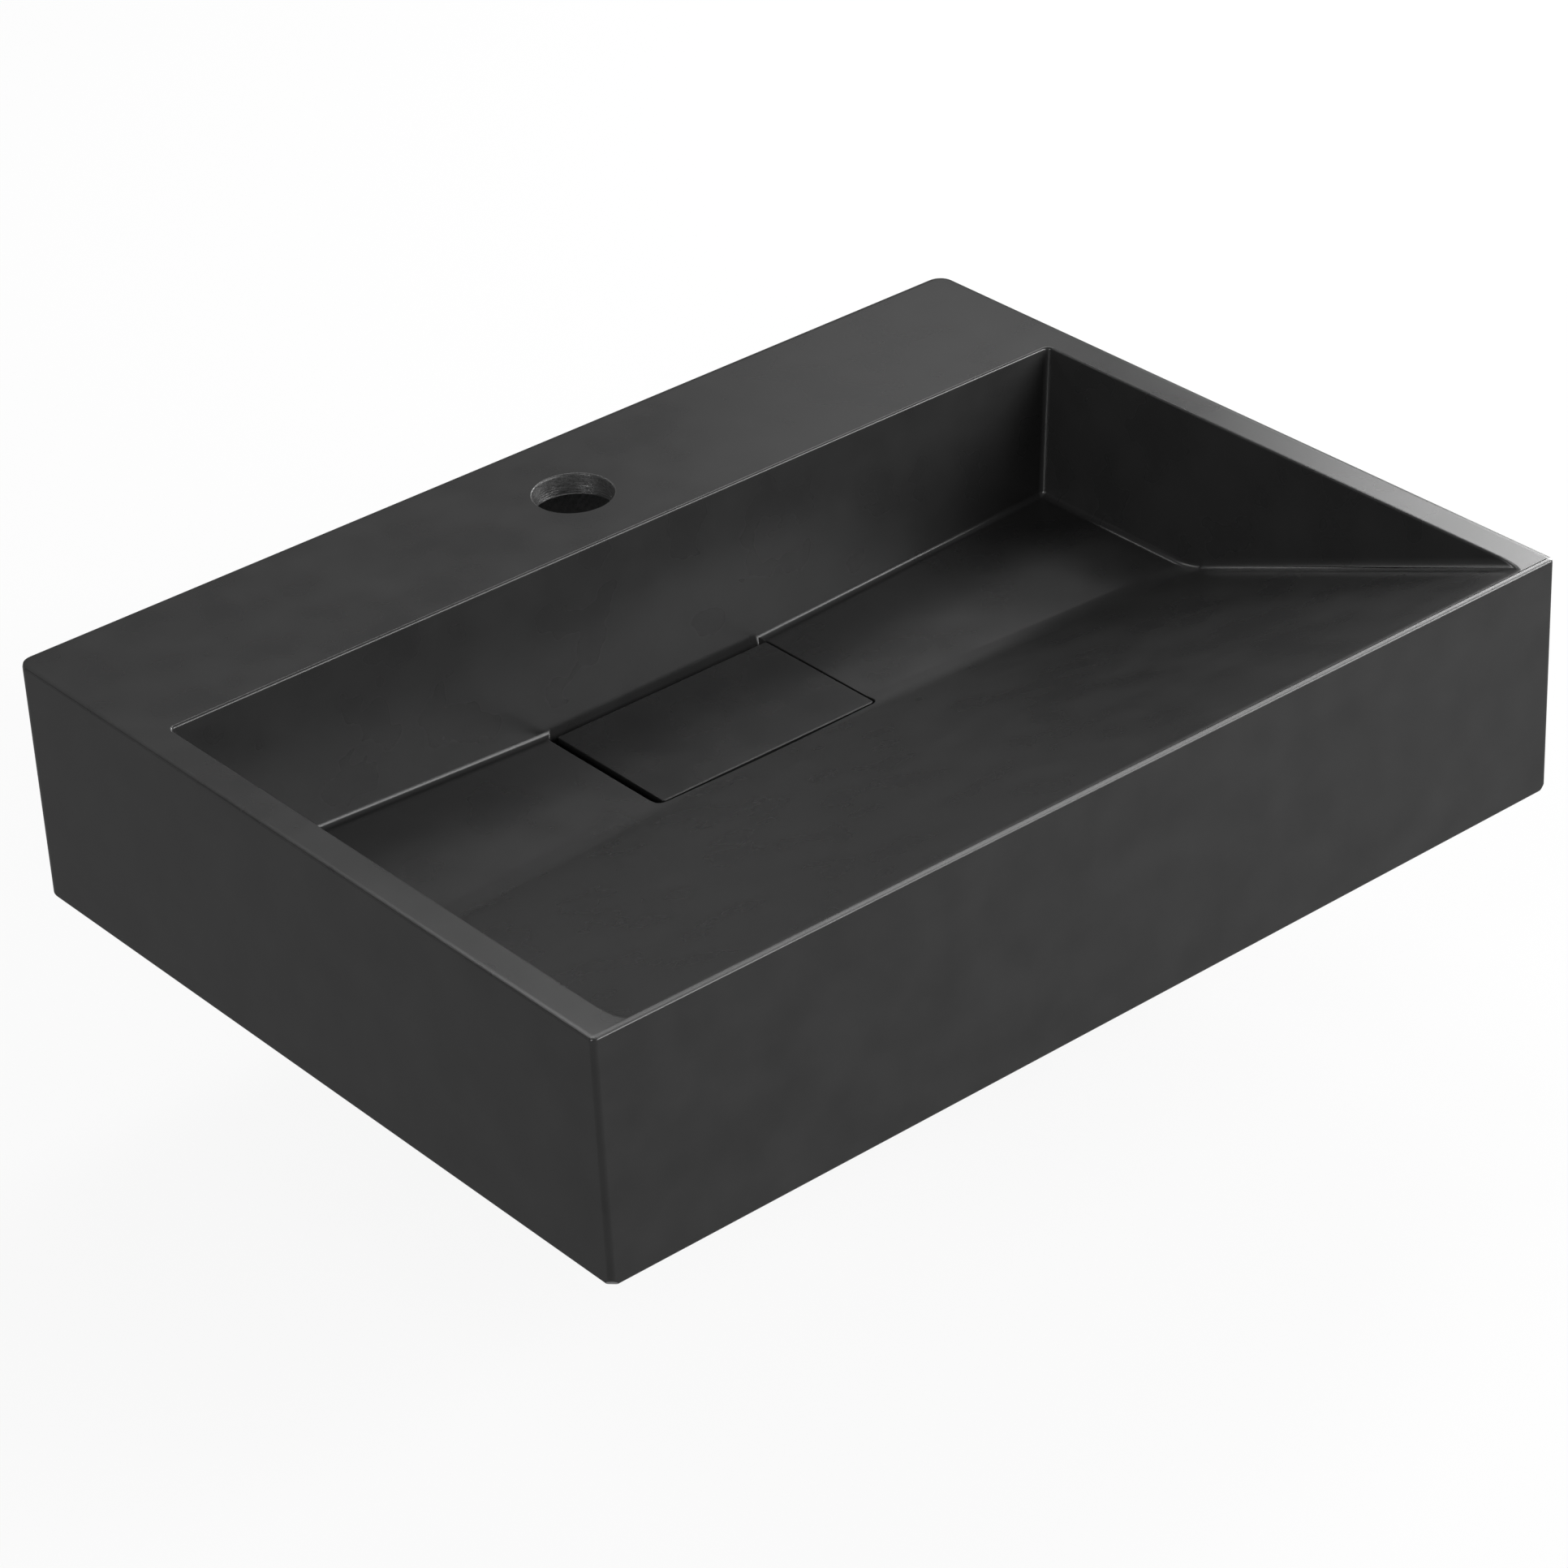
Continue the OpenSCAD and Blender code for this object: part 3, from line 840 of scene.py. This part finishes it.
# %% Hexagon nuts
def hexagon_nut(name, middle, axis, start, end, across_corners, bore_radius, pitch):
    length, radius = end - start, across_corners / 2
    centre = (middle[0], middle[1], (start + end) / 2)
    turn = (0, 0, 0)
    if axis == "Y":
        centre, turn = (middle[0], (start + end) / 2, middle[1]), (math.pi / 2, 0, 0)
    bpy.ops.object.select_all(action="DESELECT")
    bpy.ops.mesh.primitive_cylinder_add(vertices=6, radius=radius, depth=length,
                                        location=centre, rotation=turn)
    nut = bpy.context.object
    nut.name = name
    bpy.ops.object.transform_apply(location=True, rotation=True, scale=True)
    bevel = 0.09 * radius
    lens = turned("lens", [(0, start), (radius - 1.6 * bevel, start), (radius, start + bevel),
                           (radius + 1 * mm, start + 1.6 * bevel),
                           (radius + 1 * mm, end - 1.6 * bevel), (radius, end - bevel),
                           (radius - 1.6 * bevel, end), (0, end)], middle, axis, 96)
    combine(nut, lens, "INTERSECT")
    crest = bore_radius + 0.45 * pitch
    rod = turned("tap", [(0, start - 1 * mm), (crest + 0.3 * mm, start - 1 * mm),
                         *rows(bore_radius, start + 0.4 * pitch, end - 0.4 * pitch, pitch / 6),
                         (crest + 0.3 * mm, end + 1 * mm), (0, end + 1 * mm)],
                 middle, axis, 48)
    cut_thread(rod, (start, end), bore_radius, pitch, -0.4 * pitch, middle, axis)
    combine(nut, rod)
    smooth(nut, 30)
    report(nut)
    return nut


a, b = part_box("waste_nut")
waste_nut = hexagon_nut("brass_nut", (waste_x, waste_y), "Z", a.z, b.z, 58 * mm, 18.2 * mm,
                        2.31 * mm)
wear(waste_nut, brass)
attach(waste_nut, "sink")
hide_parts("waste_nut")

# %% [markdown]
# The tailpiece is a thin chromed tube that the trap slides over. A collar with ribs for the
# fingers holds it under the waste. The tube is one turned outline with a real wall, and the ribs
# are made by moving the collar's points out and in around the axis.

# %% Tailpiece
a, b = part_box("tailpiece")
collar_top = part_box("tail_seal")[0].z
collar_low = collar_top - 6 * mm
collar_radius, thread_radius = 19 * mm, 16.7 * mm
rib_count, rib_depth = 60, 0.22 * mm
tail = turned("tail_tube", [
    (14.9 * mm, a.z + 0.2 * mm), (15.1 * mm, a.z), (15.7 * mm, a.z), (15.9 * mm, a.z + 0.3 * mm),
    (15.9 * mm, collar_low - 0.8 * mm), (16.3 * mm, collar_low), (18.6 * mm, collar_low),
    (collar_radius, collar_low + 0.4 * mm),
    *rows(collar_radius, collar_low + 1 * mm, collar_top - 1 * mm, 0.5 * mm),
    (collar_radius, collar_top - 0.4 * mm), (18.6 * mm, collar_top), (thread_radius, collar_top),
    *rows(thread_radius, collar_top + 1 * mm, b.z - 1 * mm, 0.25 * mm),
    (15.9 * mm, b.z), (15.1 * mm, b.z), (14.9 * mm, b.z - 0.2 * mm)],
    (waste_x, waste_y), steps=120, ring=True)
cut_thread(tail, (collar_top + 0.5 * mm, b.z - 0.5 * mm), thread_radius, 1.5 * mm, 0.6 * mm,
           (waste_x, waste_y))
mesh = edit(tail)
for v in mesh.verts:
    out = Vector((v.co.x - waste_x, v.co.y - waste_y, 0))
    on_collar = collar_low + 0.9 * mm < v.co.z < collar_top - 0.9 * mm
    if on_collar and abs(out.length - collar_radius) < 0.02 * mm:
        tooth = math.cos(rib_count * math.atan2(out.y, out.x))
        v.co -= out.normalized() * (rib_depth if tooth < 0 else 0)
bmesh.update_edit_mesh(tail.data)
leave_edit()
wear(tail, chrome)
smooth(tail, 30)
report(tail)
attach(tail, "sink")
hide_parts("tailpiece")

# %% [markdown]
# ## The wall fixings
# Each stud has a wood thread in the wall and a machine thread in the basin, with a plain shank
# between them. A nylon sleeve keeps it from bearing on the resin, and a washer and nut pull the
# basin to the wall. One set is modelled on the right, and the whole set is copied to the left.

# %% Studs
a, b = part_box("wall_studs")
across = [(-2 * stud_x, 0, 0)]
right = (stud_x, 0)
thread_end = boss_face - 1 * mm
point = b.y - 8 * mm
studs = turned("hanger_studs", [
    (0, a.y), (3.9 * mm, a.y), (4.95 * mm, a.y + 1 * mm),
    *rows(4.95 * mm, a.y + 1.3 * mm, thread_end - 0.6 * mm, 0.25 * mm),
    (4.5 * mm, thread_end), (4.5 * mm, -0.2 * mm),
    *rows(5 * mm, 0.4 * mm, point, 0.5 * mm), (4.2 * mm, point + 2 * mm),
    (3.2 * mm, point + 4 * mm), (2 * mm, point + 6.2 * mm), (0.7 * mm, b.y - 0.2 * mm),
    (0, b.y)], right, "Y", 40)
cut_thread(studs, (a.y + 0.6 * mm, thread_end), 4.95 * mm, 1.5 * mm, 0.85 * mm, right, "Y")
cut_thread(studs, (0.1 * mm, point + 0.6 * mm), 5 * mm, 4.2 * mm, 1.4 * mm, right, "Y")
repeat(studs, across)
wear(studs, zinc)
smooth(studs, 35)
report(studs)
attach(studs, "sink")
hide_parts("wall_studs")

# %% [markdown]
# The rest of the set follows the stud from the wall to the hand: sleeve, washer, nut. They share
# the stud's axis, so each is turned or cut there and then copied to the other side together with
# its thread. The washer is pressed from sheet, so it has one round and one sharper edge.

# %% Sleeves, washers and nuts on the studs
a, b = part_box("stud_sleeves")
sleeves = turned("nylon_sleeves", [
    (4.6 * mm, a.y + 0.2 * mm), (4.8 * mm, a.y), (14.6 * mm, a.y), (15 * mm, a.y + 0.4 * mm),
    (15 * mm, a.y + 1.7 * mm), (14.7 * mm, a.y + 2 * mm), (9.3 * mm, a.y + 2 * mm),
    (8.9 * mm, a.y + 2.4 * mm), (8.9 * mm, b.y - 1 * mm), (8.3 * mm, b.y),
    (4.9 * mm, b.y), (4.6 * mm, b.y - 0.4 * mm)], right, "Y", 56, ring=True)
a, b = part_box("stud_washers")
washers = turned("steel_washers", [
    (5.25 * mm, a.y + 0.15 * mm), (5.4 * mm, a.y), (11.6 * mm, a.y), (11.9 * mm, a.y + 0.15 * mm),
    (12 * mm, a.y + 0.4 * mm), (12 * mm, b.y - 0.2 * mm), (11.8 * mm, b.y), (5.4 * mm, b.y),
    (5.25 * mm, b.y - 0.15 * mm)], right, "Y", 56, ring=True)
a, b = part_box("stud_nuts")
nuts = hexagon_nut("steel_nuts", right, "Y", a.y, b.y, 19.6 * mm, 4.25 * mm, 1.5 * mm)
for piece, node, finish, slot_name in ((sleeves, "stud_sleeves", nylon, "white_nylon"),
                                       (washers, "stud_washers", zinc, "zinc_steel"),
                                       (nuts, "stud_nuts", zinc, "zinc_steel")):
    repeat(piece, across)
    wear(piece, finish)
    smooth(piece, 35)
    report(piece)
    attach(piece, "sink")
    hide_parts(node)

# %% [markdown]
# ## The studio
# The basin stands on pale paper in an even white room. The paper stays matt, so that it keeps the
# basin's shadow, and a share of plain white is mixed in only where the camera, a mirror or glass
# looks at it. The world itself is dim, because a bright one would wash out the dark stone.

# %% Floor and world
def white_when_seen(tree, share):
    """Mixes a shader with plain white light, for the camera, mirrors and glass only."""
    path = tree.nodes.new("ShaderNodeLightPath")
    seen = path.outputs["Is Camera Ray"]
    for ray in ("Is Glossy Ray", "Is Transmission Ray"):
        either = tree.nodes.new("ShaderNodeMath")
        either.operation = "MAXIMUM"
        tree.links.new(seen, either.inputs[0])
        tree.links.new(path.outputs[ray], either.inputs[1])
        seen = either.outputs[0]
    part = tree.nodes.new("ShaderNodeMath")
    part.operation = "MULTIPLY"
    part.inputs[1].default_value = share
    tree.links.new(seen, part.inputs[0])
    return part.outputs[0]


floor_low = cad_low.z - 1 * mm
bpy.ops.object.select_all(action="DESELECT")
bpy.ops.mesh.primitive_plane_add(size=14, location=(0, 0, floor_low))
floor = bpy.context.object
floor.name = "studio_floor"
paper = bpy.data.materials.new("pale paper")
paper.use_nodes = True
tree = paper.node_tree
tree.nodes.clear()
matt = tree.nodes.new("ShaderNodeBsdfDiffuse")
matt.inputs["Color"].default_value = (0.85, 0.85, 0.85, 1)
glow = tree.nodes.new("ShaderNodeEmission")
mixed = tree.nodes.new("ShaderNodeMixShader")
result = tree.nodes.new("ShaderNodeOutputMaterial")
tree.links.new(white_when_seen(tree, 0.9), mixed.inputs[0])
tree.links.new(matt.outputs[0], mixed.inputs[1])
tree.links.new(glow.outputs[0], mixed.inputs[2])
tree.links.new(mixed.outputs[0], result.inputs["Surface"])
floor.data.materials.append(paper)

world = bpy.data.worlds.new("studio")
scene.world = world
world.use_nodes = True
room = world.node_tree.nodes["Background"]
room.inputs["Color"].default_value = (1, 1, 1, 1)
room.inputs["Strength"].default_value = 0.17

# %% [markdown]
# Dark stone shows light mainly as a soft sheen, so the lamps are wide and their places matter
# more than their strength. Those behind make the deck and the rims glow towards the camera, and
# those in front light the outer sides. Each is given as a share of a full, plain light level, and
# the small ones stand where the deck would mirror them.

# %% Lamps
heart = Vector((0, -0.19, 0))


def softbox(name, azimuth, elevation, distance, width, height, share):
    """Azimuth turns from the wall side to the right. share is the lamp's part of the light that
    falls on a level surface, where 1 in all shows a colour as it is written."""
    azimuth, elevation = math.radians(azimuth), math.radians(elevation)
    way = Vector((math.sin(azimuth) * math.cos(elevation),
                  math.cos(azimuth) * math.cos(elevation), math.sin(elevation)))
    data = bpy.data.lights.new(name, "AREA")
    data.shape = "RECTANGLE"
    data.size, data.size_y = width, height
    data.energy = share * (math.pi * distance) ** 2 / math.sin(elevation)
    lamp = bpy.data.objects.new(name, data)
    scene.collection.objects.link(lamp)
    lamp.matrix_world = (Matrix.Translation(heart + distance * way)
                         @ (-way).to_track_quat("-Z", "Y").to_matrix().to_4x4())
    return data.energy


# name: azimuth, elevation, distance, width, height, share
lamps = {
    "front_right": (128, 20, 2, 0.5, 0.7, 0.16),
    "front": (143, 30, 2, 0.8, 0.5, 0.11),
    "front_low": (160, 14, 2, 0.5, 0.5, 0.07),
    "back_right": (68, 26, 2, 0.35, 0.6, 0.158),
    "back_right_edge": (58, 29, 2, 0.35, 0.4, 0.03),
    "back_right_glint": (42, 27, 2, 0.3, 0.3, 0.002),
    "back_high_right": (56, 48, 2, 0.6, 0.5, 0.093),
    "back_high_left": (26, 52, 2, 0.5, 0.4, 0.078),
    "back_left": (345, 32, 2, 0.4, 0.4, 0.06),
    "left": (256, 19, 2, 0.5, 0.5, 0.1),
}
for name, settings in lamps.items():
    print(name, round(softbox(name, *settings), 3), "W")

scene.view_settings.view_transform = "Standard"
